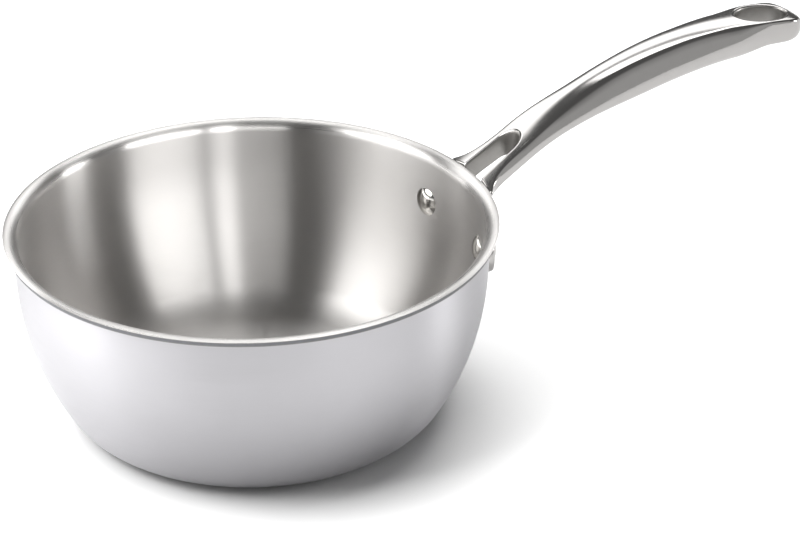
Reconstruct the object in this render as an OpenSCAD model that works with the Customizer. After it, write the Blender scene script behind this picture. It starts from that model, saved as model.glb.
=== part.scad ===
// Saucier pan: a round-bellied clad bowl with a flared pouring lip and one riveted, hollow-cast handle.
// The origin is the centre of the base underside, +Z is up and the handle points along +X.

/* [Bowl] */
// Inside diameter of the straight neck, where a lid drops in
neck_d = 193; // [160:1:230]
// Height of the lip's crest above the table
pan_h = 86; // [78:1:110]
// Length of the straight neck between the lip's curl and the belly, which a lid's rim sits in
neck_len = 12; // [8:0.2:14]
// Radius of the turn from the flat base into the belly, on the outside
corner_r = 20.2; // [14:0.2:26]
// Radius of the belly, on the outside
belly_r = 118; // [105:1:140]
// Radius of the lip's curl, on the inside face of the sheet
lip_r = 4.8; // [4:0.1:7]
// How far the curl turns past its crest, in degrees
lip_past_crest = 20; // [0:1:40]

/* [Clad sheet] */
// Thickness of the magnetic steel skin outside
outer_skin_t = 0.5; // [0.4:0.05:0.8]
// Thickness of the aluminium core
core_t = 1.4; // [1:0.1:2.5]
// Thickness of the cooking surface skin inside
inner_skin_t = 0.4; // [0.3:0.05:0.8]

/* [Handle line] */
// Length of the handle past the lip
handle_reach = 162.5; // [150:0.5:200]
// Height of the handle's highest point above the lip's crest
handle_rise = 49.9; // [40:0.1:60]
// Distance from the lip to the handle's highest point
crest_reach = 134; // [125:1:140]
// Height of the handle's top above the lip's crest, where it passes the lip
root_rise = 1.1; // [0.6:0.1:3]
// Length of the straight stretch between the lip and the arch
straight_len = 28.7; // [20:0.1:36]

/* [Handle section] */
// Width of the flat top where the slot ends
fork_top_w = 18.6; // [17:0.2:22]
// Width of the flat top at its narrowest
waist_top_w = 11.2; // [8:0.2:12]
// Width of the flat top under the palm
palm_top_w = 13.6; // [9:0.2:14]
// Width of the handle's body at the slot
fork_w = 25; // [23:0.5:30]
// Width of the handle's body under the palm
palm_w = 26.6; // [24:0.2:32]
// Depth of the handle at the slot
fork_depth = 11; // [10:0.5:14]
// Depth of the handle under the palm
palm_depth = 18.2; // [15:0.2:22]
// Depth of the handle at the hanging eye
eye_depth = 13.4; // [11:0.2:16]
// Depth of the rounded nose at the very end
nose_depth = 8.4; // [6:0.2:10]
// Width of the handle round the hanging eye, which is also the nose's diameter
nose_w = 24; // [23:0.2:28]
// Extra half width where the root flares towards the lip
flare_w = 7.5; // [5:0.5:9]
// Thickness of the metal round the handle's closed hollow
cast_wall = 2; // [1.6:0.1:2.6]

/* [Slot and hanging eye] */
// Width of the slot at the pan end
slot_w = 15.2; // [12:0.2:16]
// Radius of the slot's round outer end
slot_tip_r = 6.2; // [5:0.1:7]
// Distance from the lip to the slot's outer end
slot_reach = 21.6; // [18:0.2:25]
// Length of the hanging eye
eye_l = 24; // [20:0.5:28]
// Width of the hanging eye
eye_w = 17.6; // [14:0.2:18]
// Metal left between the hanging eye and the nose
eye_wall = 7; // [5:0.5:10]

/* [Bracket and rivets] */
// Thickness of the bracket that lies on the bowl
bracket_t = 3.5; // [3:0.1:5]
// Angle from the handle's middle to each rivet, round the bowl
rivet_angle = 15; // [13:0.5:18]
// Distance from the lip's crest down to the rivets
rivet_drop = 24; // [22:1:28]
// Radius of the bracket's round ears
ear_r = 9.5; // [8.5:0.5:11]
// Diameter of the rivet shanks
shank_d = 6; // [5:0.1:7]
// Diameter of the domed heads inside the bowl
head_d = 13.5; // [11:0.5:15]
// Height of the domed heads inside the bowl
head_h = 2.6; // [1.8:0.1:3.2]
// Diameter of the closed heads outside, on the bracket
tail_d = 11; // [9:0.5:13]
// Height of the closed heads outside
tail_h = 2; // [1:0.1:3]

/* [Clearances] */
// Radial play between a shank and its hole
rivet_play = 0.05; // [0.02:0.01:0.2]
// Gap between the lip and the handle's root
lip_gap = 0.3; // [0.2:0.05:0.6]
// Room round the closed heads outside
tail_play = 0.5; // [0.3:0.1:1]

/* [Hidden] */
$fn = 96;

// Depths into the sheet, measured from its outside face
core_at = outer_skin_t;
inner_at = core_at + core_t;
sheet_t = inner_at + inner_skin_t;

// Centres of the three arcs of the outside profile, and the angle where the corner hands over to the belly
neck_r = neck_d / 2 + sheet_t;
lip_out_r = lip_r - sheet_t;
lip_x = neck_r + lip_out_r;
lip_z = pan_h - lip_r;
neck_z = lip_z - neck_len;
belly_x = neck_r - belly_r;
corner_x = belly_x + sqrt(pow(belly_r - corner_r, 2) - pow(neck_z - corner_r, 2));
handover = -atan2(neck_z - corner_r, corner_x - belly_x);
rim_r = lip_x + lip_r * sin(lip_past_crest);

// Steps along each arc of the profile
corner_steps = 12;
belly_steps = 12;
lip_steps = 14;

// Top line of the handle: straight, then an arc that is level at its highest point
crest_z = pan_h + handle_rise;
climb = handle_rise - root_rise;
tangent_len = (pow(crest_reach, 2) + pow(climb, 2) - pow(straight_len, 2))
    / (2 * (straight_len + crest_reach));
straight_angle = atan2(climb, crest_reach - tangent_len);
straight_reach = straight_len * cos(straight_angle);
arch_r = tangent_len / tan(straight_angle / 2);

// Height of the rivets above the table
rivet_z = pan_h - rivet_drop;

// Handle stations, as distances past the lip
eye_mid = handle_reach - eye_wall - eye_l / 2;
nose_r = nose_w / 2;
nose_mid = handle_reach - nose_r;
waist_at = 52;
palm_at = 97;
full_at = palm_at - 15;
swell_at = eye_mid - 22;
root_x = neck_r - 6;
// Half widths at the lip, at the waist, at the swell before the eye and beside the eye
lip_top_half = fork_top_w / 2 + 1.5;
lip_half = fork_w / 2 + 0.5;
waist_half = fork_w / 2 - 0.4;
swell_top_half = palm_top_w / 2 + 0.8;
swell_half = palm_w / 2 + 0.2;
eye_top_half = nose_r - 0.8;
eye_half = nose_r + 0.4;
// Depths where the slot ends and at the swell before the eye
slot_depth = fork_depth + 1;
swell_depth = palm_depth - 0.6;
// Depth of the root's foot, how fast it and the root's flare fade out, and where they start
foot_depth = 20;
foot_len = 2.5;
foot_from = -4;
flare_len = 4;
flare_from = -3;
// Rounding of the edge between the top and the flanks, and the top's crown
edge_r = 0.9;
crown = 0.6;
// Share of a rounding's radius that its middle point stands in from each side
round_share = 0.29;
// Points of the upper flank, as shares of its width and of its height
flank = [[0.55, 0.42], [0.9, 0.76]];
// Roundness of the underside along the grip and at the nose, where 2 is an ellipse and more is squarer
grip_round = 2.3;
nose_round = 4;
// Ends of the closed hollow, kept back from the slot and the eye, and the vent that opens it into the eye
hollow_from = slot_reach + 5;
hollow_to = eye_mid - eye_l / 2 - 5;
vent_d = 2.4;
vent_overlap = 8;
// How far drills and cutters reach past the sheet, to each side
overcut = 20;
// Depth that the skirt under each rivet head is sunk in what it lies on
skirt = 1;
// How far the bracket's shoulders stand in from the ears' inner edges
shoulder_in = 1;

// A point on the sheet's profile, turned by a degrees about the centre c
function on_arc(c, r, a) = [c[0] + r * cos(a), c[1] + r * sin(a)];

// The face of the sheet at depth t below its outside face, from the axis up to the lip's cut edge
function face(t) = concat(
    [[0, t]],
    [for (i = [0 : corner_steps])
        on_arc([corner_x, corner_r], corner_r - t, -90 + (90 + handover) * i / corner_steps)],
    [for (i = [1 : belly_steps])
        on_arc([belly_x, neck_z], belly_r - t, handover * (1 - i / belly_steps))],
    [for (i = [0 : lip_steps])
        on_arc([lip_x, lip_z], lip_out_r + t, 180 - (90 + lip_past_crest) * i / lip_steps)]);

// Points of a list in reverse order
function backwards(list) = [for (i = [len(list) - 1 : -1 : 0]) list[i]];

// One ply of the clad sheet, between two depths, with its two rivet holes
module ply(from_depth, to_depth) {
    difference() {
        rotate_extrude($fn = 180) polygon(concat(face(from_depth), backwards(face(to_depth))));
        rivet_holes();
    }
}

// Both rivet holes, through everything that the rivets clamp
module rivet_holes() {
    for (side = [-1, 1])
        at_rivet(side) translate([0, 0, neck_r - overcut])
            cylinder(d = shank_d + 2 * rivet_play, h = 2 * overcut);
}

// Room for both closed heads outside the bracket, kept free of the casting's root
module tail_rooms() {
    difference() {
        for (side = [-1, 1])
            at_rivet(side) translate([0, 0, neck_r]) cylinder(d = tail_d + 2 * tail_play, h = 4 * bracket_t);
        cylinder(r = neck_r + bracket_t + tail_play / 10, h = pan_h, $fn = 180);
    }
}

// Moves its children onto a rivet's axis, which runs outwards from the bowl's axis
module at_rivet(side) {
    rotate([0, 0, side * rivet_angle]) translate([0, 0, rivet_z]) rotate([0, 90, 0]) children();
}

// Everything inside the sheet's inner face
module bowl_space() {
    rotate_extrude($fn = 180) polygon(concat(face(sheet_t), [[0, pan_h]]));
}

// Everything that the bowl takes up, with the room that the lip needs
module bowl_envelope() {
    wall = [for (p = face(0)) if (p[1] < lip_z - lip_gap) p];
    rotate_extrude($fn = 180) polygon(concat(wall, [
        [neck_r, lip_z - lip_gap],
        [rim_r + lip_gap, lip_z + lip_out_r / 2],
        [rim_r + lip_gap, pan_h + handle_rise],
        [0, pan_h + handle_rise]]));
}

// Height of the handle's top line at the distance x past the lip
function arch_z(x) = crest_z - arch_r + sqrt(pow(arch_r, 2) - pow(x - crest_reach, 2));
function top_z(x) = x > straight_reach
    ? arch_z(x) - nose_drop() * (1 - nose_scale(x))
    : pan_h + root_rise + x * tan(straight_angle);

// Drop of the top line at the tip of the nose, which leaves the nose its depth over a level underside
function nose_drop() = eye_depth - nose_depth - arch_z(eye_mid) + arch_z(handle_reach);

// Share of the full width that the round nose leaves at x
function nose_scale(x) = x <= nose_mid ? 1 : sqrt(max(0.0004, 1 - pow((x - nose_mid) / nose_r, 2)));

// A smooth value at x through a list of [place, value] stations
function blend(t) = t * t * (3 - 2 * t);
function through(list, x, i = 0) = x <= list[0][0] ? list[0][1]
    : i >= len(list) - 1 ? list[len(list) - 1][1]
    : x <= list[i + 1][0]
        ? list[i][1] + (list[i + 1][1] - list[i][1])
            * blend((x - list[i][0]) / (list[i + 1][0] - list[i][0]))
        : through(list, x, i + 1);

// Extra half width and extra depth at the root
function flare(x) = flare_w * exp(-max(x, flare_from) / flare_len);
function foot(x) = foot_depth * exp(-(max(x, foot_from) - foot_from) / foot_len);

// Half widths of the flat top and of the body, depth, and the share of the depth above the widest line
function top_half(x) = flare(x) + nose_scale(x) * through([
    [0, lip_top_half], [slot_reach - 2, fork_top_w / 2], [waist_at, waist_top_w / 2],
    [palm_at, palm_top_w / 2], [swell_at, swell_top_half], [eye_mid, eye_top_half]], x);
function body_half(x) = flare(x) + nose_scale(x) * through([
    [0, lip_half], [slot_reach, fork_w / 2], [waist_at, waist_half],
    [palm_at, palm_w / 2], [swell_at, swell_half], [eye_mid, eye_half]], x);
function depth(x) = foot(x) + (x > eye_mid ? eye_depth + top_z(x) - top_z(eye_mid) : through([
    [0, fork_depth], [slot_reach, slot_depth], [full_at, palm_depth], [swell_at, swell_depth],
    [eye_mid, eye_depth]], x));
function ridge_share(x) = through([
    [slot_reach, 0.45], [waist_at, 0.55], [palm_at, 0.5], [handle_reach, 0.15]], x);
function roundness(x) = through([[swell_at, grip_round], [eye_mid - 4, nose_round]], x);

// Right half of the cross-section at x, from the middle of the top down to the middle of the underside.
// inset shrinks it all round, for the hollow.
function half_section(x, inset) = let(
    wt = max(top_half(x) - inset * 0.7, 0.3),
    wb = max(body_half(x) - inset, wt + 0.2),
    d = depth(x) - 2 * inset,
    r = ridge_share(x) * d,
    e = min(edge_r, wt * 0.4),
    n = roundness(x),
    c = min(crown, wt * 0.1)) [
        [0, 0], [wt * 0.55, -c * 0.3], [wt - e, -c], [wt - e * round_share, -c - e * round_share],
        [wt + (wb - wt) * e / r, -c - e],
        for (p = flank) [wt + (wb - wt) * p[0], -c - (r - c) * p[1]],
        for (u = [0 : 15 : 90])
            [wb * pow(max(cos(u), 0), 2 / n), -r - (d - r) * pow(sin(u), 2 / n)]];

// Whole ring of points at x
function ring(x, inset) = let(half = half_section(x, inset), n = len(half)) concat(
    [for (p = half) [rim_r + x, p[0], top_z(x) - inset + p[1]]],
    [for (i = [n - 2 : -1 : 1]) [rim_r + x, -half[i][0], top_z(x) - inset + half[i][1]]]);

// A solid skinned over the rings at the places xs
module skinned(xs, inset) {
    rings = [for (x = xs) ring(x, inset)];
    n = len(rings[0]);
    m = len(rings);
    polyhedron(
        points = [for (r = rings) each r],
        faces = concat(
            [[for (j = [n - 1 : -1 : 0]) j]],
            [for (i = [0 : m - 2], j = [0 : n - 1])
                each [[i * n + j, i * n + (j + 1) % n, (i + 1) * n + j],
                    [i * n + (j + 1) % n, (i + 1) * n + (j + 1) % n, (i + 1) * n + j]]],
            [[for (j = [0 : n - 1]) (m - 1) * n + j]]));
}

// Places of the rings: close together at the root, further apart along the grip, even turns round the nose
root_places = [for (x = [root_x - rim_r : 1.5 : 8]) x];
grip_places = [for (x = [12 : 6 : nose_mid - 3]) x];
nose_places = [for (a = [0 : 12 : 84]) nose_mid + nose_r * sin(a)];
outer_places = concat(root_places, grip_places, nose_places, [handle_reach]);
hollow_places = [for (x = [hollow_from : 8 : hollow_to]) x];

// Slot between the fork's two arms, in plan
module slot_plan() {
    tip_mid = rim_r + slot_reach - slot_tip_r;
    start = neck_r + bracket_t;
    lean = atan2(slot_w / 2 - slot_tip_r, tip_mid - start);
    polygon([
        [start, -slot_w / 2],
        [tip_mid + slot_tip_r * sin(lean), -slot_tip_r * cos(lean)],
        [tip_mid + slot_tip_r * sin(lean), slot_tip_r * cos(lean)],
        [start, slot_w / 2]]);
    translate([tip_mid, 0]) circle(r = slot_tip_r);
}

// Hanging eye in plan: a long round hole, drawn as two circles and the straight stretch between them
module eye_plan() {
    end_r = eye_w / 2;
    for (side = [-1, 1])
        translate([rim_r + eye_mid + side * (eye_l / 2 - end_r), 0]) circle(r = end_r);
    translate([rim_r + eye_mid, 0]) square([eye_l - 2 * end_r, eye_w], center = true);
}

// Bracket that spreads the handle's load over the bowl's wall
module bracket() {
    ear_y = (neck_r + bracket_t) * sin(rivet_angle);
    shoulder_y = ear_y - ear_r + shoulder_in;
    intersection() {
        cylinder(r = neck_r + bracket_t, h = pan_h, $fn = 180);
        translate([neck_r - overcut, 0, 0]) rotate([90, 0, 90]) linear_extrude(height = 2 * overcut) {
            for (side = [-1, 1]) translate([side * ear_y, rivet_z]) circle(r = ear_r);
            polygon([
                [-ear_y, rivet_z - ear_r], [ear_y, rivet_z - ear_r], [ear_y, rivet_z + ear_r],
                [shoulder_y, lip_z - lip_gap], [-shoulder_y, lip_z - lip_gap], [-ear_y, rivet_z + ear_r]]);
        }
    }
}

module outer_skin() {
    color([0.78, 0.79, 0.8]) ply(0, core_at);
}

module aluminium_core() {
    color([0.7, 0.7, 0.72]) ply(core_at, inner_at);
}

module inner_skin() {
    color([0.82, 0.81, 0.8]) ply(inner_at, sheet_t);
}

module handle() {
    color([0.6, 0.6, 0.62]) difference() {
        union() {
            skinned(outer_places, 0);
            bracket();
        }
        bowl_envelope();
        linear_extrude(height = pan_h + handle_rise) slot_plan();
        linear_extrude(height = pan_h + handle_rise + 10) eye_plan();
        skinned(hollow_places, cast_wall);
        translate([rim_r + hollow_to - vent_overlap, 0, top_z(hollow_to) - eye_depth / 2]) rotate([0, 90, 0])
            cylinder(d = vent_d, h = eye_mid - hollow_to + vent_overlap);
        rivet_holes();
        tail_rooms();
    }
}

// A rivet: domed head in the bowl, shank through sheet and bracket, closed head on the bracket
module rivet(side) {
    wall_r = neck_r - sheet_t;
    tail_at = neck_r + bracket_t;
    intersection() {
        bowl_space();
        at_rivet(side) dome(wall_r - head_h, wall_r + skirt, head_d, head_h);
    }
    at_rivet(side) translate([0, 0, wall_r - skirt])
        cylinder(d = shank_d, h = sheet_t + bracket_t + 2 * skirt);
    difference() {
        at_rivet(side) translate([0, 0, 2 * tail_at]) mirror([0, 0, 1])
            dome(tail_at - tail_h, tail_at + skirt, tail_d, tail_h);
        cylinder(r = tail_at, h = pan_h, $fn = 180);
    }
}

// A low dome that starts at the height low and has a straight skirt up to the height high
module dome(low, high, d, h) {
    ball_r = (d * d / 4 + h * h) / (2 * h);
    intersection() {
        translate([0, 0, low + ball_r]) sphere(r = ball_r);
        translate([0, 0, low]) cylinder(d = d, h = h);
    }
    translate([0, 0, low + h]) cylinder(d = d, h = high - low - h);
}

module rivet_left() {
    color([0.85, 0.84, 0.82]) rivet(-1);
}

module rivet_right() {
    color([0.85, 0.84, 0.82]) rivet(1);
}

outer_skin();
aluminium_core();
inner_skin();
handle();
rivet_left();
rivet_right();
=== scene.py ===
# %% [markdown]
# # A saucier pan, from a drawing to a picture
#
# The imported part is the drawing: it gives every size, and nothing here moves or resizes it. This
# lesson adds what a drawing leaves out. There is spun steel with a satin grain, a polished casting
# with soft edges, riveted heads, and the studio that all of these mirror. A shiny thing has hardly
# any look of its own, so its shape comes first, its finish second, and the light is a third of the
# work. Lengths are in millimetres, as on the maker's drawing, and turn into metres when a mesh is made.

# %% The fixed frame
import math

import bmesh
import bpy
import numpy as np
from mathutils import Matrix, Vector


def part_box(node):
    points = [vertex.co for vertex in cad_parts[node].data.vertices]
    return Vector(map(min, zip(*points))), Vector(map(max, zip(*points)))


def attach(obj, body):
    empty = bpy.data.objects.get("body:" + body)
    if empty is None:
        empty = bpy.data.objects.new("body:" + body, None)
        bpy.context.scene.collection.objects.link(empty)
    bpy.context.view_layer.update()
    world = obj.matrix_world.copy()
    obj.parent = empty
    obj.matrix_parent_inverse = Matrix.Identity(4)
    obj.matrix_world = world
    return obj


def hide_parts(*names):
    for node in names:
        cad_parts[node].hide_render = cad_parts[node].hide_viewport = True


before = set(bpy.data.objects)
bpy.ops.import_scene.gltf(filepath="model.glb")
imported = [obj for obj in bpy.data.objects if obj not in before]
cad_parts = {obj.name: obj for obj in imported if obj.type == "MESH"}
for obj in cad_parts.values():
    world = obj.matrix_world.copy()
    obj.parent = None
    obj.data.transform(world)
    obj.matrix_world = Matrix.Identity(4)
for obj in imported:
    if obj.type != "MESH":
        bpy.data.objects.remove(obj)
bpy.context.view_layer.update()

MM = 0.001
print("nodes:", ", ".join(sorted(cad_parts)))

# %% [markdown]
# ## Sizes
#
# The pan stands on z = 0 with its axis on the origin and its handle along +X. What the frame can tell
# is read from it: how wide and high the bowl is, how far the handle reaches and how high the rivets
# sit. The radii of the bowl's profile repeat the drawing.

# %% Sizes of the bowl
def box_mm(node):
    """Lowest and highest corner of a node, in millimetres."""
    return [[v / MM for v in corner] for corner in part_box(node)]


PAN_H = box_mm("inner_skin")[1][2]
RIM_R = box_mm("inner_skin")[1][0]
LIP_R = 4.8
LIP_END = 70.0
NECK_LEN = 12.0
BELLY_R = 118.0
CORNER_R = 20.2
OUTER_SKIN_T = 0.5
CORE_T = 1.4
INNER_SKIN_T = 0.4
SHEET_T = OUTER_SKIN_T + CORE_T + INNER_SKIN_T
LIP_Z = PAN_H - LIP_R
NECK_Z = LIP_Z - NECK_LEN
LIP_X = RIM_R - LIP_R * math.cos(math.radians(LIP_END))
NECK_R = LIP_X - (LIP_R - SHEET_T)
print(f"rim {2 * RIM_R:.1f} mm across, {PAN_H:.1f} mm high, neck {2 * NECK_R:.1f} mm outside")

# %% [markdown]
# ## The bowl
#
# The bowl is one disc of clad sheet: magnetic steel outside, aluminium between, cooking steel inside.
# It is pressed and spun to shape, and its edge is curled over into a pouring lip, where the cut edge
# of the sheet shows as a fine dark line, drawn with painted shade on the edge. Modelling it as one shell
# with a Solidify modifier would be quick, but the three plies are three pieces. So each ply is a closed
# outline turned round the axis, as on a lathe. The outline is three arcs and a straight neck, all worked
# out from the sizes above.

# %% Points on an arc
def arc(centre, radius, start, end, steps):
    """Points on an arc between two angles in degrees."""
    turn = [math.radians(start + (end - start) * i / steps) for i in range(steps + 1)]
    return [(centre[0] + radius * math.cos(a), centre[1] + radius * math.sin(a)) for a in turn]


print("halfway round a quarter arc of 10 mm:", [round(v, 2) for v in arc((0, 0), 10, 0, 90, 2)[1]])

# %% The outline of one face of the sheet
BASE_STEPS, CORNER_STEPS, BELLY_STEPS, NECK_STEPS, LIP_STEPS = 12, 24, 28, 6, 28
BELLY_X = NECK_R - BELLY_R
CORNER_X = BELLY_X + math.sqrt((BELLY_R - CORNER_R) ** 2 - (NECK_Z - CORNER_R) ** 2)
HANDOVER = -math.degrees(math.atan2(NECK_Z - CORNER_R, CORNER_X - BELLY_X))


def sheet_face(t):
    """The face that lies t inside the sheet's outer face, from the axis to the lip's cut edge."""
    base = [(CORNER_X * i / BASE_STEPS, t) for i in range(BASE_STEPS)]
    corner = arc((CORNER_X, CORNER_R), CORNER_R - t, -90, HANDOVER, CORNER_STEPS)
    belly = arc((BELLY_X, NECK_Z), BELLY_R - t, HANDOVER, 0, BELLY_STEPS)[1:]
    neck = [(NECK_R - t, NECK_Z + NECK_LEN * i / NECK_STEPS) for i in range(1, NECK_STEPS)]
    lip = arc((LIP_X, LIP_Z), LIP_R - SHEET_T + t, 180, LIP_END, LIP_STEPS)
    return base + corner + belly + neck + lip


print(f"the belly hands over to the corner at {HANDOVER:.1f} degrees")


# %% Turning an outline on the lathe
BOWL_TURNS, RIVET_TURNS = 288, 96
BROKEN_EDGE = 0.15
SHARP_FROM = 40


def lathe(name, outline, turns, soft_corners=(), cut=None):
    """A mesh turned from a closed outline of (radius, height) points, with poles on the axis.
    The strip that follows the point numbered cut takes the piece's second material."""
    mesh = bmesh.new()
    rings = []
    angles = [2 * math.pi * k / turns for k in range(turns)]
    for r, z in outline:
        if r < 1e-9:
            rings.append([mesh.verts.new((0, 0, z * MM))] * turns)
        else:
            r_m = r * MM
            rings.append([mesh.verts.new((r_m * math.cos(a), r_m * math.sin(a), z * MM)) for a in angles])
    for i, (ring, above) in enumerate(zip(rings, rings[1:] + rings[:1])):
        for k in range(turns):
            corners = [ring[k], ring[(k + 1) % turns], above[(k + 1) % turns], above[k]]
            corners = list(dict.fromkeys(corners))
            if len(corners) > 2:
                mesh.faces.new(corners).material_index = int(i == cut)
    soften(mesh, [rings[i] for i in soft_corners])
    return finished(name, mesh)


def soften(mesh, rings):
    """Breaks the sharp corner that runs along each ring, as a buffing wheel does."""
    for ring in rings:
        inside = set(ring)
        edges = list({e for v in ring for e in v.link_edges if e.other_vert(v) in inside})
        round_off = {"offset": BROKEN_EDGE * MM, "segments": 3, "profile": 0.5}
        bmesh.ops.bevel(mesh, geom=edges, affect="EDGES", **round_off)


def finished(name, mesh):
    """Makes an object of a bmesh, smooth except across edges that turn by more than SHARP_FROM."""
    bmesh.ops.recalc_face_normals(mesh, faces=mesh.faces)
    data = bpy.data.meshes.new(name)
    mesh.to_mesh(data)
    mesh.free()
    data.shade_smooth()
    data.set_sharp_from_angle(angle=math.radians(SHARP_FROM))
    piece = bpy.data.objects.new(name, data)
    bpy.context.scene.collection.objects.link(piece)
    return piece


print(f"one step round the lip is {2 * math.pi * RIM_R / BOWL_TURNS:.1f} mm")

# %% The three plies
SHEET = {
    "outer_skin": (0.0, OUTER_SKIN_T),
    "aluminium_core": (OUTER_SKIN_T, OUTER_SKIN_T + CORE_T),
    "inner_skin": (OUTER_SKIN_T + CORE_T, SHEET_T),
}
plies = {}
for node, (outside, inside) in SHEET.items():
    outer_face, inner_face = sheet_face(outside), sheet_face(inside)
    cut = len(outer_face) - 1
    shown = {"outer_skin": [cut], "inner_skin": [cut + 1]}.get(node, [])
    outline = outer_face + inner_face[::-1]
    plies[node] = lathe(node + "_spun", outline, BOWL_TURNS, soft_corners=shown, cut=cut)
    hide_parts(node)
    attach(plies[node], "root")
    print(node, len(plies[node].data.vertices), "vertices")

# %% [markdown]
# ## The handle
#
# The handle is one hollow steel casting. A bracket lies on the bowl, two arms rise from it, and they
# flow into a long arched grip that ends in a ring round the hanging eye. Everything on it is rounded,
# because a casting is ground and buffed. Boxes and booleans would leave hard joints, and a subdivision
# cage needs hand-placed loops at each opening. A formula is easier here. Each form is a field: a number
# at each point of space that is negative inside the metal. The larger of two fields keeps what lies in
# both, the smaller joins them, and doing either softly leaves a fillet.

# %% Sizes of the handle
REACH = box_mm("handle")[1][0] - RIM_R
CREST = 134.0
RISE = 49.9
CREST_Z = PAN_H + RISE
ROOT_RISE = 1.1
STRAIGHT_LEN = 28.7
NOSE_R = 12.0
NOSE_MID = REACH - NOSE_R
EYE_MID = REACH - 19.0
EYE_DEPTH = 13.4
EYE_HALF = 12.4
NOSE_DEPTH = 8.4
print(f"the handle reaches {REACH:.1f} mm past the lip, and its crest is {CREST_Z:.1f} mm high")


# %% A value that runs smoothly through stations
def through(x, stations):
    """Eases from each (place, value) station to the next one, and is level outside them."""
    value = np.full_like(x, stations[0][1])
    for (a, va), (b, vb) in zip(stations, stations[1:]):
        t = np.clip((x - a) / (b - a), 0, 1)
        value += (vb - va) * t * t * (3 - 2 * t)
    return value


print("a quarter of the way from 1 to 3:", through(np.array([2.5]), ((0, 1), (10, 3)))[0])

# %% The top line, seen from the side
CLIMB = RISE - ROOT_RISE
TANGENT = (CREST ** 2 + CLIMB ** 2 - STRAIGHT_LEN ** 2) / (2 * (STRAIGHT_LEN + CREST))
LEAN = math.atan2(CLIMB, CREST - TANGENT)
STRAIGHT = STRAIGHT_LEN * math.cos(LEAN)
ARCH_R = TANGENT / math.tan(LEAN / 2)


def arch(x):
    """The arc that the grip's top follows."""
    return CREST_Z - ARCH_R + np.sqrt(ARCH_R ** 2 - (x - CREST) ** 2)


NOSE_DROP = EYE_DEPTH - NOSE_DEPTH - float(arch(np.float64(EYE_MID)) - arch(np.float64(REACH)))


def top_line(x):
    """Straight from the lip, then an arc, with the nose's tip rounded down.
    The clips only keep the field tame a few millimetres past the nose."""
    curved = arch(np.clip(x, STRAIGHT, REACH + 4)) - np.maximum(STRAIGHT - x, 0) * math.tan(LEAN)
    past = np.clip((x - NOSE_MID) / NOSE_R, 0, 1.3)
    return curved - NOSE_DROP * past ** 3


print(f"it leaves the lip at {math.degrees(LEAN):.0f} degrees and arches over {ARCH_R:.0f} mm")


# %% Soft joins of two fields
def soft_max(a, b, radius):
    """What lies in both fields, with the edge between them rounded by about this radius."""
    h = np.maximum(radius - np.abs(a - b), 0)
    return np.maximum(a, b) + h * h / (4 * radius)


def soft_min(a, b, radius):
    """What lies in either field, with a fillet of about this radius between them."""
    return -soft_max(-a, -b, radius)


print("in a corner, a soft join of 4 mm moves the surface by", soft_max(0.0, 0.0, 4.0), "mm")

# %% [markdown]
# The grip's section changes all along it. A few stations give the half width of its flat top and of
# its body, and its depth. The widest line of each section is a ridge along the flank: the metal above
# it leans in towards the narrow top, and the metal below is a rounded belly. That ridge parts a dark
# band from a light one, so it has a soft edge of its own.

# %% The grip, as a field over points (x past the lip, y, z)
TOP_HALF = ((0, 10.8), (19.6, 9.3), (52, 5.6), (97, 6.8), (121.5, 7.6), (143.5, 11.2))
BODY_HALF = ((0, 13), (21.6, 12.5), (52, 12.1), (97, 13.3), (121.5, 13.5), (143.5, EYE_HALF))
DEPTH = ((0, 11), (21.6, 12), (82, 18.2), (121.5, 17.6), (143.5, EYE_DEPTH))
RIDGE_SHARE = ((21.6, 0.45), (52, 0.55), (97, 0.5), (162.5, 0.15))
SQUARENESS = ((121.5, 2.3), (139.5, 4.0))
FLARE, FLARE_LEN, FLARE_DEPTH = 7.5, 4.0, 9.0
FOOT, FOOT_LEN, FOOT_FROM = 17.0, 2.5, -4.0
RIDGE_SOFT, TOP_SOFT, CROWN = 1.2, 1.1, 0.6
BEND = 0.6


def grip(x, y, z):
    """The arms, the grip and the nose, before anything is cut out of them."""
    below = top_line(x) - z
    flare = FLARE * np.exp(-np.maximum(x, 0) / FLARE_LEN - (np.maximum(below, 0) / FLARE_DEPTH) ** 2)
    foot = FOOT * np.exp(-(np.maximum(x, FOOT_FROM) - FOOT_FROM) / FOOT_LEN)
    top, body = through(x, TOP_HALF), through(x, BODY_HALF)
    deep = foot + through(x, DEPTH)
    deep += np.where(x > EYE_MID, top_line(x) - top_line(np.full_like(x, EYE_MID)), 0)
    ridge = deep * through(x, RIDGE_SHARE)
    power = through(x, SQUARENESS)
    nose = np.hypot((x - NOSE_MID) * EYE_HALF / NOSE_R, y)
    side = np.where(x > NOSE_MID, nose, np.abs(y)) - flare
    t = below / ridge
    lean_in = np.where(t < 1, (1 + BEND) * t - BEND * t * t, BEND + (1 - BEND) * t)
    upper = side - top - (body - top) * lean_in
    u = np.maximum(below - ridge, 0) / (deep - ridge)
    lower = body * (((np.maximum(side, 0) / body) ** power + u ** power) ** (1 / power) - 1)
    flank = soft_max(upper, lower, RIDGE_SOFT)
    return soft_max(flank, CROWN * (y / top) ** 2 - below, TOP_SOFT)


print(f"at the crest the grip is {2 * through(np.array([CREST]), BODY_HALF)[0]:.1f} mm wide")

# %% The bracket on the bowl
BRACKET_T = 3.5
RIVET_ANGLE = 15.0
RIVET_Z = (box_mm("rivet_left")[0][2] + box_mm("rivet_left")[1][2]) / 2
BRACKET_R = NECK_R + BRACKET_T
EAR_Y = BRACKET_R * math.sin(math.radians(RIVET_ANGLE))
EAR_R = 9.5
LIP_GAP = 0.3
SHOULDER_OUT = 1.0
SHOULDER_Y = EAR_Y - EAR_R + SHOULDER_OUT
SHOULDER_Z = LIP_Z - LIP_GAP
SHOULDER_LEAN = math.atan2(EAR_R - SHOULDER_OUT, SHOULDER_Z - RIVET_Z - EAR_R)
HOLLOW_EDGE = 2.5
EAR_FILLET, PLATE_EDGE = 3.0, 1.4


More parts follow.
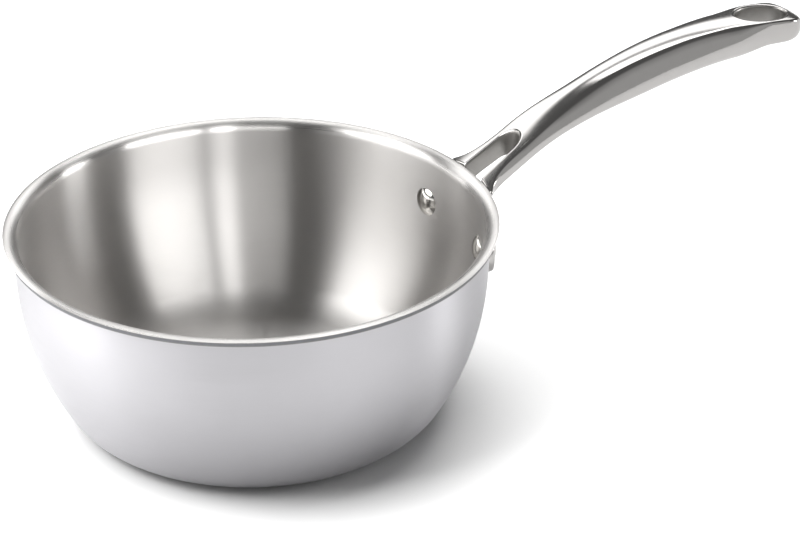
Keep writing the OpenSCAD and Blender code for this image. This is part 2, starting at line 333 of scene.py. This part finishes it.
def bracket(x, y, z):
    """A curved plate with a round ear about each rivet and a web between them."""
    ears = np.hypot(np.abs(y) - EAR_Y, z - RIVET_Z) - EAR_R
    slant = (np.abs(y) - SHOULDER_Y) * math.cos(SHOULDER_LEAN) + (z - SHOULDER_Z) * math.sin(SHOULDER_LEAN)
    edge = RIVET_Z - EAR_R + HOLLOW_EDGE * np.maximum(1 - (y / EAR_Y) ** 2, 0)
    shoulder = soft_max(z - SHOULDER_Z, slant, EAR_FILLET)
    web = soft_max(np.maximum(edge - z, np.abs(y) - EAR_Y), shoulder, EAR_FILLET)
    return soft_max(soft_min(ears, web, EAR_FILLET), np.hypot(x + RIM_R, y) - BRACKET_R, PLATE_EDGE)


print(f"rivets {RIVET_Z:.1f} mm up, ears {2 * EAR_R:.0f} mm across")

# %% The slot, the eye and the vent
SLOT_END, SLOT_TIP_R, SLOT_HALF, SLOT_FOOT = 21.6, 6.2, 7.6, 1.5
EYE_LONG, EYE_WIDE, EYE_BACK = 12.4, 8.8, 0.5
VENT_R, VENT_FROM, VENT_EDGE = 1.2, EYE_MID - 25, 0.5


def slot(x, y):
    """The slot between the arms, which stops at the bracket's face."""
    tip = SLOT_END - SLOT_TIP_R
    start = BRACKET_R - RIM_R
    half = SLOT_TIP_R + (SLOT_HALF - SLOT_TIP_R) * np.clip((tip - x) / (tip - start), 0, 1)
    plan = np.where(x > tip, np.hypot(x - tip, y) - SLOT_TIP_R, np.abs(y) - half)
    return soft_max(plan, BRACKET_R - np.hypot(x + RIM_R, y), SLOT_FOOT)


def eye(x, y):
    """The hanging eye, an ellipse in plan."""
    along = x - EYE_MID + EYE_BACK
    scaled = np.hypot(along / EYE_LONG, y / EYE_WIDE) + 1e-9
    return scaled * (scaled - 1) / (np.hypot(along / EYE_LONG ** 2, y / EYE_WIDE ** 2) + 1e-9)


def vent(x, y, z):
    """The small hole in the eye's wall that let the casting's hollow breathe."""
    height = float(arch(np.float64(VENT_FROM))) - EYE_DEPTH / 2
    ends = soft_max(VENT_FROM - x, x - EYE_MID, VENT_EDGE)
    return soft_max(np.hypot(y, z - height) - VENT_R, ends, VENT_EDGE)


print(f"slot {2 * SLOT_HALF:.1f} mm wide, eye {2 * EYE_LONG:.1f} by {2 * EYE_WIDE:.1f} mm")
print(f"vent {2 * VENT_R:.1f} mm across")

# %% The room that the bowl takes
LIP_SLOPE = 0.35
ROOM_EDGE = 0.8
BELLY_SPAN = 40


def bowl_room(x, y, z):
    """Negative where the bowl and the room for its lip are."""
    r = np.hypot(x + RIM_R, y)
    wall = BELLY_X + np.sqrt(BELLY_R ** 2 - np.clip(NECK_Z - z, 0, BELLY_SPAN) ** 2)
    under_lip = LIP_Z - LIP_GAP + (r - NECK_R) * LIP_SLOPE - z
    return soft_min(r - wall, soft_max(under_lip, r - RIM_R - LIP_GAP, ROOM_EDGE), ROOM_EDGE)


print("the casting stays", LIP_GAP, "mm under the lip")

# %% The whole casting
ROOT_FILLET, SLOT_EDGE, EYE_EDGE, SEAT_EDGE = 4.0, 1.4, 1.6, 0.7


def casting(points):
    """Grip and bracket in one, with the slot, the eye, the vent and the bowl's room taken out."""
    x, y, z = points[..., 0] - RIM_R, points[..., 1], points[..., 2]
    metal = soft_min(grip(x, y, z), bracket(x, y, z), ROOT_FILLET)
    metal = soft_max(metal, -slot(x, y), SLOT_EDGE)
    metal = soft_max(metal, -eye(x, y), EYE_EDGE)
    metal = soft_max(metal, -vent(x, y, z), VENT_EDGE)
    return soft_max(metal, -bowl_room(x, y, z), SEAT_EDGE)


in_grip = np.array([[RIM_R + CREST, 0.0, CREST_Z - 5]])
print(f"5 mm under the crest the field is {casting(in_grip)[0]:.1f} mm, so that is inside the metal")

# %% [markdown]
# A field becomes a mesh in three steps. A grid finds the cells that the surface passes through. Each
# such cell gets one vertex, and neighbouring cells make quads. Then each vertex slides down the field's
# slope until it lies on the surface, and the quads are evened out. Last, each vertex takes its normal
# from the slope too. A polished face mirrors the studio, and any ripple in its normals would show.

# %% Finding the surface in a grid
def grid_values(field, low, high, pitch):
    """The field at every point of a grid, one sheet of points at a time to save memory."""
    axes = [np.arange(a, b + pitch, pitch) for a, b in zip(low, high)]
    value = np.empty([len(a) for a in axes], np.float32)
    yy, zz = np.meshgrid(axes[1], axes[2], indexing="ij")
    for i, x in enumerate(axes[0]):
        value[i] = field(np.stack([np.full_like(yy, x), yy, zz], -1))
    return value


def cell_vertices(value, cells):
    """For each cell, the middle of the places where its edges cross the surface."""
    total, hits = np.zeros((len(cells), 3)), np.zeros(len(cells))
    for a in np.ndindex(2, 2, 2):
        for axis in range(3):
            if a[axis]:
                continue
            b = np.array(a)
            b[axis] = 1
            va = value[tuple((cells + a).T)].astype(float)
            vb = value[tuple((cells + b).T)].astype(float)
            crossed = (va < 0) != (vb < 0)
            t = np.where(crossed, va / np.where(crossed, va - vb, 1), 0)
            total += crossed[:, None] * (np.array(a) + t[:, None] * (b - a))
            hits += crossed
    return cells + total / hits[:, None]


def surface_cells(field, low, high, pitch):
    """One vertex per cell that the surface passes through, and quads between them."""
    value = grid_values(field, low, high, pitch)
    inside = value < 0
    n = [s - 1 for s in value.shape]
    starts = np.ndindex(2, 2, 2)
    count = sum(inside[i:i + n[0], j:j + n[1], k:k + n[2]].astype(np.int8) for i, j, k in starts)
    cells = np.argwhere((count > 0) & (count < 8))
    number = np.full(n, -1)
    number[tuple(cells.T)] = np.arange(len(cells))
    quads = []
    for step in np.eye(3, dtype=int):
        u, v = np.roll(step, 1), np.roll(step, 2)
        first = inside[tuple(slice(0, s - d) for s, d in zip(inside.shape, step))]
        second = inside[tuple(slice(d, None) for d in step)]
        at = np.argwhere(first != second)
        at = at[np.all((at >= u + v) & (at < n), axis=1)]
        quad = np.stack([number[tuple((at - d).T)] for d in (0 * u, u, u + v, v)], 1)
        outward = inside[tuple(at.T)]
        quad[~outward] = quad[~outward][:, ::-1]
        quads.append(quad)
    return np.array(low) + pitch * cell_vertices(value, cells), np.concatenate(quads)


def ball(points):
    """A ball of 2 mm, to try the grid on."""
    return np.linalg.norm(points, axis=-1) - 2


print("a ball of 2 mm takes", len(surface_cells(ball, (-3, -3, -3), (3, 3, 3), 0.5)[1]), "quads")

# %% Sliding vertices onto the surface
def slope(field, points, h=0.05):
    """The field's slope at each point, from two values a step of h apart on each side."""
    return np.stack([(field(points + d) - field(points - d)) / (2 * h) for d in np.eye(3) * h], -1)


def settle(field, points, rounds=4, longest=0.5):
    """Moves points onto the surface along the field's slope, in steps that are never too long."""
    for _ in range(rounds):
        g = slope(field, points)
        move = field(points)[:, None] * g / np.maximum((g * g).sum(1), 1e-3)[:, None]
        points = points - np.clip(move, -longest, longest)
    return points


def evened(field, points, quads, rounds=3):
    """Moves each vertex towards its neighbours' middle and back onto the surface."""
    edges = np.concatenate([quads[:, [i, (i + 1) % 4]] for i in range(4)])
    for _ in range(rounds):
        total, count = np.zeros_like(points), np.zeros(len(points))
        for a, b in ((0, 1), (1, 0)):
            np.add.at(total, edges[:, a], points[edges[:, b]])
            np.add.at(count, edges[:, a], 1)
        points = settle(field, points + 0.5 * (total / count[:, None] - points), 2)
    return points


print("a point 0.3 mm off the ball settles at", settle(ball, np.array([[2.3, 0.0, 0.0]])).round(3)[0])

# %% The handle's mesh, in a grid that reaches a little past the casting on every side
PITCH = 0.45
low, high = (NECK_R - 10, -40, 46), (RIM_R + REACH + 2, 40, CREST_Z + 2)
points, quads = surface_cells(casting, low, high, PITCH)
points = evened(casting, settle(casting, points), quads)
normals = slope(casting, points)
normals /= np.linalg.norm(normals, axis=1)[:, None]
data = bpy.data.meshes.new("handle_cast")
data.from_pydata((points * MM).tolist(), [], quads.tolist())
data.shade_smooth()
data.normals_split_custom_set_from_vertices(normals.tolist())
handle = bpy.data.objects.new("handle_cast", data)
bpy.context.scene.collection.objects.link(handle)
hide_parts("handle")
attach(handle, "root")
print("handle:", len(points), "vertices,", len(quads), "quads")

# %% The faces on the walls of the slot and the eye, which take a second material, darker as painted shade
WALL_NEAR, BRACKET_CLEAR = 0.35, 1.0
middles = points[quads].mean(1)
x_past_lip, y = middles[:, 0] - RIM_R, middles[:, 1]
clear_of_bracket = np.hypot(middles[:, 0], y) > BRACKET_R + BRACKET_CLEAR
in_opening = clear_of_bracket & (np.minimum(slot(x_past_lip, y), eye(x_past_lip, y)) < WALL_NEAR)
# These faces take the darker opening material, whose tint is painted shade for the recesses.
data.polygons.foreach_set("material_index", in_opening.astype(np.int32))
print(int(in_opening.sum()), "faces on the walls of the openings")

# %% [markdown]
# ## The rivets
#
# A rivet starts as a pin with a domed head. It goes through the sheet from inside, and the end that
# sticks out on the bracket is pressed into a second, lower head. So it is round about one axis,
# and the same lathe turns it. Its outline is two domes with a straight shank between them. The small
# arc at each head's rim matters most: it catches a thin line of light and seats the head on the wall.

# %% Outline of a head
HEAD_R, HEAD_H = 6.75, 2.6
TAIL_R, TAIL_H = 5.5, 2.0
SHANK_R = 3.0
RIM_SOFT = 0.35
HEAD_SUNK, TAIL_SUNK = 0.6, 0.4


def dome(radius, height, steps=14):
    """A low dome from its middle to its rim, with a small round rim, as (radius, height) points."""
    crown_r = (radius ** 2 + height ** 2) / (2 * height)
    reach = math.asin((radius - RIM_SOFT) / (crown_r - RIM_SOFT))
    over = arc((0, height - crown_r), crown_r, 90, 90 - math.degrees(reach), steps)
    rim_z = height - crown_r + (crown_r - RIM_SOFT) * math.cos(reach)
    return over + arc((radius - RIM_SOFT, rim_z), RIM_SOFT, 90 - math.degrees(reach), 0, 5)[1:]


print("the outline of a head has", len(dome(HEAD_R, HEAD_H)), "points")

# %% Both rivets
def rivet(node, side):
    """A rivet through the sheet and the bracket, on one side of the handle."""
    wall = NECK_R - SHEET_T
    seat = BRACKET_R - wall
    head = [(r, -h) for r, h in dome(HEAD_R, HEAD_H)]
    shank = [(HEAD_R, HEAD_SUNK), (SHANK_R, HEAD_SUNK)]
    shank += [(SHANK_R, seat - TAIL_SUNK), (TAIL_R, seat - TAIL_SUNK)]
    tail = [(r, seat + h) for r, h in dome(TAIL_R, TAIL_H)]
    piece = lathe(node + "_turned", head + shank + tail[::-1], RIVET_TURNS)
    place = Matrix.Rotation(math.radians(RIVET_ANGLE) * side, 4, "Z")
    place = place @ Matrix.Translation((wall * MM, 0, RIVET_Z * MM)) @ Matrix.Rotation(math.pi / 2, 4, "Y")
    piece.data.transform(place)
    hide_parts(node)
    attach(piece, "root")
    return piece


rivets = {"rivet_left": rivet("rivet_left", -1), "rivet_right": rivet("rivet_right", 1)}
print("rivets:", ", ".join(piece.name for piece in rivets.values()))

# %% [markdown]
# ## Finishes
#
# Bare steel has no paint to draw. Its look is a reflectance a little over a half, nearly grey, and
# a surface that decides how far the mirror image is smeared. On a real pan that surface comes from the
# last tool that touched it: a belt on a lathe leaves rings, a buffing wheel leaves none. So every
# finish below is one metal with its own roughness, grain direction and tint.

# %% Nodes of a material
def linear(hex_colour):
    """An sRGB hex value as linear red, green, blue and alpha."""
    values = [int(hex_colour[i:i + 2], 16) / 255 for i in (1, 3, 5)]
    return [v / 12.92 if v <= 0.04045 else ((v + 0.055) / 1.055) ** 2.4 for v in values] + [1.0]


def add(tree, kind, settings=None, inputs=None):
    """Adds a node. Settings go to its properties, inputs to its sockets, as values or as links."""
    node = tree.nodes.new(kind)
    for key, value in (settings or {}).items():
        setattr(node, key, value)
    for key, value in (inputs or {}).items():
        if isinstance(value, bpy.types.NodeSocket):
            tree.links.new(value, node.inputs[key])
        else:
            node.inputs[key].default_value = value
    return node


def new_material(name):
    """An empty material, with its node tree."""
    material = bpy.data.materials.new(name)
    material.use_nodes = True
    material.node_tree.nodes.clear()
    return material, material.node_tree


def varied(tree, noise, low, high):
    """Spreads a noise, whose values lie mostly between 0.3 and 0.7, over low to high."""
    sockets = {"Value": noise, "From Min": 0.3, "From Max": 0.7, "To Min": low, "To Max": high}
    return add(tree, "ShaderNodeMapRange", None, sockets).outputs["Result"]


print("the middle grey #808080 is", round(linear("#808080")[0], 3), "in linear light")

# %% [markdown]
# The bowl is ground on the lathe with a fine belt, inside and out, so its grain runs round the axis.
# Grooves that run round smear a mirror image up and down but hardly sideways, which is why a satin pan
# shows tall soft bars of light. Real grooves are about 0.05 mm apart, far finer than the picture can
# hold, so the anisotropic shader stands for those. Over it lies a coarser grain, drawn 0.5 mm wide so
# that it can be seen, made of noise that is stretched round the axis. It uses the direction from the
# axis and the distance along the profile, so it has no seam.

# %% Grain that runs round the axis
GRAIN_MM = 0.5
STREAK_MM = 24.0


def ring_grain(tree):
    """Noise in long streaks round the axis, a grain's width apart along the profile."""
    place = add(tree, "ShaderNodeTexCoord").outputs["Object"]
    flat = add(tree, "ShaderNodeVectorMath", {"operation": "MULTIPLY"}, {0: place, 1: (1, 1, 0)}).outputs[0]
    radius = add(tree, "ShaderNodeVectorMath", {"operation": "LENGTH"}, {0: flat}).outputs["Value"]
    out = add(tree, "ShaderNodeVectorMath", {"operation": "NORMALIZE"}, {0: flat}).outputs[0]
    per_streak = {0: out, "Scale": NECK_R / STREAK_MM}
    around = add(tree, "ShaderNodeVectorMath", {"operation": "SCALE"}, per_streak)
    height = add(tree, "ShaderNodeSeparateXYZ", None, {0: place}).outputs["Z"]
    along = add(tree, "ShaderNodeMath", {"operation": "ADD"}, {0: radius, 1: height}).outputs[0]
    per_grain = 1 / (GRAIN_MM * MM)
    fine = add(tree, "ShaderNodeMath", {"operation": "MULTIPLY"}, {0: along, 1: per_grain}).outputs[0]
    line = add(tree, "ShaderNodeCombineXYZ", None, {"Z": fine})
    both = {0: around.outputs[0], 1: line.outputs[0]}
    where = add(tree, "ShaderNodeVectorMath", {"operation": "ADD"}, both).outputs[0]
    streaks = {"Vector": where, "Scale": 1.0, "Detail": 3.0}
    return add(tree, "ShaderNodeTexNoise", None, streaks).outputs["Fac"]


print("grain", GRAIN_MM, "mm wide, in streaks of some", STREAK_MM, "mm")

# %% Satin steel, ground on the lathe
RADIAL_TURN = 0.25
LIP_SHARE, LIP_EASE = 0.75, 2.0
PATCH_MM = 30.0
GRAIN_ROUGH = 0.03


def satin_steel(name, light, dark, roughness, grain_depth, smear):
    """Lathe-ground steel: two tints, a roughness, a groove depth in millimetres and how far it smears.
    The lip was rolled and rubbed smoother than the wall."""
    material, tree = new_material(name)
    grain = ring_grain(tree)
    place = add(tree, "ShaderNodeTexCoord").outputs["Object"]
    wide = {"Vector": place, "Scale": 1 / (PATCH_MM * MM), "Detail": 2.0}
    patches = add(tree, "ShaderNodeTexNoise", None, wide)
    tint = add(tree, "ShaderNodeMix", {"data_type": "RGBA"},
               {"Factor": patches.outputs["Fac"], 6: linear(light), 7: linear(dark)}).outputs[2]
    height = add(tree, "ShaderNodeSeparateXYZ", None, {0: place}).outputs["Z"]
    lip = {"Value": height, "From Min": LIP_Z * MM, "From Max": (LIP_Z + LIP_EASE) * MM, "To Min": 1.0}
    wall = add(tree, "ShaderNodeMapRange", None, {**lip, "To Max": LIP_SHARE}).outputs["Result"]
    rough = varied(tree, grain, roughness - GRAIN_ROUGH, roughness + GRAIN_ROUGH)
    rough = add(tree, "ShaderNodeMath", {"operation": "MULTIPLY"}, {0: rough, 1: wall}).outputs[0]
    grooves = {"Height": grain, "Strength": 0.5, "Distance": grain_depth * MM}
    bump = add(tree, "ShaderNodeBump", None, grooves)
    tangent = add(tree, "ShaderNodeTangent", {"direction_type": "RADIAL", "axis": "Z"}).outputs[0]
    shader = add(tree, "ShaderNodeBsdfPrincipled", None, {
        "Base Color": tint, "Metallic": 1.0, "Roughness": rough, "Anisotropic": smear,
        "Anisotropic Rotation": RADIAL_TURN, "Tangent": tangent, "Normal": bump.outputs[0]})
    add(tree, "ShaderNodeOutputMaterial", None, {"Surface": shader.outputs[0]})
    return material


satin_outside = satin_steel("satin_ground_magnetic_steel", "#C3C2C5", "#BEBDC0", 0.36, 0.004, 0.85)
satin_inside = satin_steel("satin_ground_cooking_steel", "#C8C6C4", "#C2C0BE", 0.38, 0.004, 1.0)
print("satin finishes:", satin_outside.name, satin_inside.name)

# %% [markdown]
# The cut edge of the sheet shows at the lip. A lathe tool parted it and no belt touched it, so its steel
# is rougher than the faces, and the aluminium in the middle is duller still and a touch bluer. Both edge
# tints are also painted darker than bare cut metal, as painted shade: the thin dark line under the bright
# lip is the shade under the curl, painted onto these edges.
#
# The casting is stainless steel too, but it was buffed until it mirrors. Buffing by hand never leaves
# a perfect plane. The surface rolls by about a hundredth of a millimetre over some six millimetres,
# which bends a mirrored edge a little and tells the eye that this was cast and not milled. The marks of
# the wheel are hair-fine. They are drawn 0.8 mm wide, as small changes in gloss, so that they can show.
# The wheel cannot reach into the slot and the eye, so their walls stay ground and rough. Their darker grey
# tint is painted shade, for the shade deep in those openings.
#
# The rivets are cold-headed from bright wire, and the heading tool leaves them brighter than the pan.

# %% Cut edges, buffed castings and bright wire
FINE_MM = 0.8
FINE_SHARE = 0.15


def buffed_metal(name, light, dark, roughness, roll_mm, roll_depth):
    """Metal without a grain: two tints, a roughness, and how far apart and how deep its surface rolls."""
    material, tree = new_material(name)
    place = add(tree, "ShaderNodeTexCoord").outputs["Object"]
    wide = {"Vector": place, "Scale": 1 / (roll_mm * MM), "Detail": 1.0}
    roll = add(tree, "ShaderNodeTexNoise", None, wide)
    small = {"Vector": place, "Scale": 1 / (FINE_MM * MM), "Detail": 2.0}
    fine = add(tree, "ShaderNodeTexNoise", None, small)
    tint = add(tree, "ShaderNodeMix", {"data_type": "RGBA"},
               {"Factor": roll.outputs["Fac"], 6: linear(light), 7: linear(dark)}).outputs[2]
    rough = varied(tree, fine.outputs["Fac"], roughness * (1 - FINE_SHARE), roughness * (1 + FINE_SHARE))
    bump = add(tree, "ShaderNodeBump", None,
               {"Height": roll.outputs["Fac"], "Strength": 1.0, "Distance": roll_depth * MM})
    shader = add(tree, "ShaderNodeBsdfPrincipled", None, {
        "Base Color": tint, "Metallic": 1.0, "Roughness": rough, "Normal": bump.outputs[0]})
    add(tree, "ShaderNodeOutputMaterial", None, {"Surface": shader.outputs[0]})
    return material


# The two edge tints are darker than cut steel and aluminium are, as painted shade for the dark line under
# the lip.
cut_steel_painted_shade = buffed_metal("raw_cut_steel_edge_painted_shade", "#8C8B8A", "#848382", 0.45, 2, 0.004)
cut_aluminium_painted_shade = buffed_metal("turned_aluminium_edge_painted_shade", "#808184", "#7A7B7E", 0.5, 3, 0.004)
buffed_casting = buffed_metal("buffed_cast_steel", "#BFBDBB", "#BAB8B6", 0.13, 6, 0.01)
# The openings' walls are rougher, and their darker tint is painted shade for the recesses.
opening_walls_painted_shade = buffed_metal("ground_opening_walls_painted_shade", "#A3A19E", "#9B9996", 0.38, 4, 0.01)
bright_wire = buffed_metal("bright_headed_wire", "#D2D0CC", "#CDCBC7", 0.09, 3, 0.003)
print("other finishes:", cut_steel_painted_shade.name, cut_aluminium_painted_shade.name, buffed_casting.name)
print("and:", opening_walls_painted_shade.name, bright_wire.name)

# %% Each piece gets its finish, and a second one for its cut edge or its openings
FINISHES = (
    (plies["outer_skin"], satin_outside, "outer_steel"),
    (plies["aluminium_core"], cut_aluminium_painted_shade, "core_aluminium"),
    (plies["inner_skin"], satin_inside, "cooking_steel"),
    (handle, buffed_casting, "polished_steel"),
    (rivets["rivet_left"], bright_wire, "rivet_steel"),
    (rivets["rivet_right"], bright_wire, "rivet_steel"),
)
for piece, material, slot_name in FINISHES:
    piece.data.materials.append(material)
# The cut edges take the darkened edge tints, which are painted shade for the line under the lip.
for node, edge in (("outer_skin", cut_steel_painted_shade), ("aluminium_core", cut_aluminium_painted_shade), ("inner_skin", cut_steel_painted_shade)):
    plies[node].data.materials.append(edge)
handle.data.materials.append(opening_walls_painted_shade)
print(len(FINISHES), "pieces finished")

# %% [markdown]
# ## The floor
#
# The pan stands on a sheet of white paper that is lit until the camera sees it burn out to white. If
# the bowl mirrored it at that strength its wall would lose its shape, as it would in a real studio,
# where grey cards lie near a shiny thing. So the paper has two values: a lighter one for the camera,
# which the lamp above it burns out to white, and a darker one for every other ray. It is one flat
# sheet, far wider than any view.

# %% White paper
FLOOR_HALF = 6.0
PAPER_SEEN, PAPER_MIRRORED = 0.5, 0.31
corners = [(-FLOOR_HALF, -FLOOR_HALF, 0), (FLOOR_HALF, -FLOOR_HALF, 0)]
corners += [(FLOOR_HALF, FLOOR_HALF, 0), (-FLOOR_HALF, FLOOR_HALF, 0)]
floor_data = bpy.data.meshes.new("floor")
floor_data.from_pydata(corners, [], [(0, 1, 2, 3)])
floor = bpy.data.objects.new("floor", floor_data)
bpy.context.scene.collection.objects.link(floor)
paper, tree = new_material("white_paper")
camera_ray = add(tree, "ShaderNodeLightPath").outputs["Is Camera Ray"]
value = add(tree, "ShaderNodeMapRange", None,
            {"Value": camera_ray, "To Min": PAPER_MIRRORED, "To Max": PAPER_SEEN}).outputs["Result"]
sheet = add(tree, "ShaderNodeBsdfDiffuse", None, {"Color": value})
add(tree, "ShaderNodeOutputMaterial", None, {"Surface": sheet.outputs[0]})
floor_data.materials.append(paper)
print("floor", 2 * FLOOR_HALF, "m wide")

# %% [markdown]
# ## The light
#
# What lights a shiny thing is what it mirrors, so the light is laid out as it is in a studio: white
# softboxes in a dark room, each where some face of the pan needs to see white. The bright wedge on the
# right of the bowl mirrors the high box on the left. The white top of the handle mirrors the box behind,
# and the handle's dark flank mirrors the dim wall beside the camera. Azimuths are counted from the
# camera's right, so 90 is behind the pan, 180 is on the left and 270 is the camera.

# %% The room, as a sky of softboxes
TURN = 25.5
world = bpy.data.worlds.new("studio")
bpy.context.scene.world = world
world.use_nodes = True
sky = world.node_tree
sky.nodes.clear()
direction = add(sky, "ShaderNodeTexCoord").outputs["Generated"]
towards = add(sky, "ShaderNodeSeparateXYZ", None, {0: direction})
y_then_x = {0: towards.outputs["Y"], 1: towards.outputs["X"]}
azimuth = add(sky, "ShaderNodeMath", {"operation": "ARCTAN2"}, y_then_x)
elevation = add(sky, "ShaderNodeMath", {"operation": "ARCSINE"}, {0: towards.outputs["Z"]})


def softened(tree, value, start, full):
    """Zero at start and one at full, both in degrees, with an eased edge between them."""
    sockets = {"Value": value, "From Min": math.radians(start), "From Max": math.radians(full)}
    return add(tree, "ShaderNodeMapRange", {"interpolation_type": "SMOOTHSTEP"}, sockets).outputs["Result"]


def softbox(centre, half_width, low, high, strength, soft=4):
    """Brightness of one softbox, with its azimuth and its lowest and highest elevation in degrees."""
    away = add(sky, "ShaderNodeMath", {"operation": "SUBTRACT"},
               {0: azimuth.outputs[0], 1: math.radians(centre - TURN)}).outputs[0]
    turn = add(sky, "ShaderNodeMath", {"operation": "WRAP"}, {0: away, 1: math.pi, 2: -math.pi}).outputs[0]
    side = add(sky, "ShaderNodeMath", {"operation": "ABSOLUTE"}, {0: turn}).outputs[0]
    across = softened(sky, side, half_width + soft / 2, half_width - soft / 2)
    over = softened(sky, elevation.outputs[0], low - soft / 2, low + soft / 2)
    under = softened(sky, elevation.outputs[0], high + soft / 2, high - soft / 2)
    window = add(sky, "ShaderNodeMath", {"operation": "MULTIPLY"}, {0: across, 1: over}).outputs[0]
    window = add(sky, "ShaderNodeMath", {"operation": "MULTIPLY"}, {0: window, 1: under}).outputs[0]
    return add(sky, "ShaderNodeMath", {"operation": "MULTIPLY"}, {0: window, 1: strength}).outputs[0]


print("the handle points", 90 - TURN, "degrees to the right of straight back")

# %% The softboxes: middle azimuth, half width, lowest and highest elevation, strength
SOFTBOXES = {
    "high box on the left": softbox(193, 27, 24, 56, 5.2, soft=10),
    "low box on the left": softbox(178, 31, -4, 14, 3.6, soft=8),
    "dim side of the low box": softbox(224, 17, -4, 14, 1.4, soft=14),
    "dim wall beside the camera": softbox(310, 36, -20, 58, 0.40, soft=30),
    "narrow bright strip on the right": softbox(9, 7, -2, 22, 9.0, soft=6),
    "low box on the right": softbox(15, 35, -4, 10, 0.8, soft=8),
    "high strip behind": softbox(88, 30, 46, 68, 3.6, soft=6),
    "box behind": softbox(104, 42, 24, 40, 2.3, soft=5),
}
ROOM = 0.12
total = ROOM
for box in SOFTBOXES.values():
    total = add(sky, "ShaderNodeMath", {"operation": "ADD"}, {0: box, 1: total}).outputs[0]
print(len(SOFTBOXES), "softboxes")

# %% What the camera sees behind the floor
BACKDROP = 1.0
seen = add(sky, "ShaderNodeLightPath").outputs["Is Camera Ray"]
room = add(sky, "ShaderNodeBackground", None, {"Strength": total})
backdrop = add(sky, "ShaderNodeBackground", None, {"Color": (1, 1, 1, 1), "Strength": BACKDROP})
room.inputs["Color"].default_value = (1, 1, 1, 1)
mixed = add(sky, "ShaderNodeMixShader", None, {0: seen, 1: room.outputs[0], 2: backdrop.outputs[0]})
add(sky, "ShaderNodeOutputWorld", None, {"Surface": mixed.outputs[0]})
print("the sky has", len(sky.nodes), "nodes")

# %% [markdown]
# A softbox in the sky shines on everything. A real studio is finer: black cards stand between a lamp
# and whatever it must not touch. Here light linking does the cards' work. The paper gets a wide soft
# light from above that burns it out to white and leaves a shadow under the belly, and a pool on the
# left that brightens what the outer wall mirrors. The bars in the bowl come from three panels beside
# the camera. They would draw bright streaks along the handle's flank, so the handle does not get them.
# The outer wall gets a weaker one of its own, and a low wide one on the left.

# %% Lamps that light some pieces only
def lamp_for(name, kind, energy, pieces):
    """A lamp that lights only these pieces, as if black cards kept it off the rest."""
    lamp = bpy.data.objects.new(name, bpy.data.lights.new(name, kind))
    lamp.data.energy = energy
    lamp.visible_camera = False
    bpy.context.scene.collection.objects.link(lamp)
    lit = bpy.data.collections.new("lit_by_" + name)
    for piece in pieces:
        lit.objects.link(piece)
    lamp.light_linking.receiver_collection = lit
    return lamp


def towards_pan(azimuth, elevation, distance):
    """Where something stands that faces the pan from this direction, and how it is turned."""
    turn = Matrix.Rotation(math.radians(azimuth - TURN + 90), 4, "Z")
    tilt = Matrix.Rotation(math.radians(90 - elevation), 4, "X")
    return turn @ tilt @ Matrix.Translation((0, 0, distance))


def panel(name, brightness, wide, tall, place, pieces):
    """A glowing rectangle, its sides in metres."""
    lamp = lamp_for(name, "AREA", brightness * math.pi * wide * tall, pieces)
    lamp.data.shape = "RECTANGLE"
    lamp.data.size, lamp.data.size_y = wide, tall
    lamp.matrix_world = place
    return lamp


print("straight above the pan:", [round(v, 3) for v in towards_pan(0, 90, 1.0).to_translation()])

# %% Light on the paper
OVERHEAD, OVERHEAD_ANGLE, OVERHEAD_FROM = 6.7, 60, (92, 71)
POOL, POOL_SIDE, POOL_FROM, POOL_FAR = 15.0, 0.4, (208, 58), 0.62
overhead = lamp_for("overhead", "SUN", OVERHEAD, [floor])
overhead.data.angle = math.radians(OVERHEAD_ANGLE)
overhead.matrix_world = towards_pan(*OVERHEAD_FROM, 1.0)
panel("pool_on_the_left", POOL, POOL_SIDE, POOL_SIDE, towards_pan(*POOL_FROM, POOL_FAR), [floor])
print("overhead light", OVERHEAD, "W/m2 on the paper")

# %% Light on the bowl: brightness, width and height in metres, azimuth and elevation, what it lights
FAR = 1.2
in_bowl = [plies["inner_skin"], *rivets.values()]
on_wall = [plies["outer_skin"]]
PANELS = {
    "wide_strip_inside": (9.3, 0.80, 0.46, (320, 25), in_bowl),
    "narrow_strip_inside": (9.5, 0.22, 0.56, (288, 25), in_bowl),
    "dim_panel_inside": (3.0, 0.50, 0.50, (267, 22), in_bowl),
    "wide_strip_outside": (2.4, 0.80, 0.46, (320, 25), on_wall),
    "low_box_outside": (3.8, 1.40, 0.40, (176, 4), on_wall),
}
for name, (brightness, wide, tall, stands, pieces) in PANELS.items():
    panel(name, brightness, wide, tall, towards_pan(*stands, FAR), pieces)
bpy.context.scene.view_settings.view_transform = "Standard"
print(len(PANELS), "panels on the bowl")

# %% [markdown]
# ## The camera
#
# A product picture is taken from far off with a long lens, so that the rim stays a clean ellipse.
# The camera stands in front of the pan, a little over half a metre up, and looks down on it. The pan is
# turned under it: its handle points back and to the right. The place is given in the camera's own
# axes, right, back and up, and turned by the handle's angle into the pan's.

# %% The camera
CAMERA_RIGHT, CAMERA_BACK, CAMERA_UP = 61.5, 889.9, 538.8
LOOKS_DOWN = 28.36
SENSOR_MM, LENS_MM = 36, 108
turn = math.radians(TURN)
camera = bpy.data.objects.new("camera", bpy.data.cameras.new("camera"))
bpy.context.scene.collection.objects.link(camera)
camera.location = Matrix.Rotation(-turn, 4, "Z") @ Matrix.Translation(
    (CAMERA_RIGHT * MM, -CAMERA_BACK * MM, CAMERA_UP * MM)).to_translation()
camera.rotation_euler = (math.radians(90 - LOOKS_DOWN), 0, -turn)
camera.data.sensor_width = SENSOR_MM
camera.data.lens = LENS_MM
bpy.context.scene.camera = camera
print("camera at", [round(v, 4) for v in camera.location])
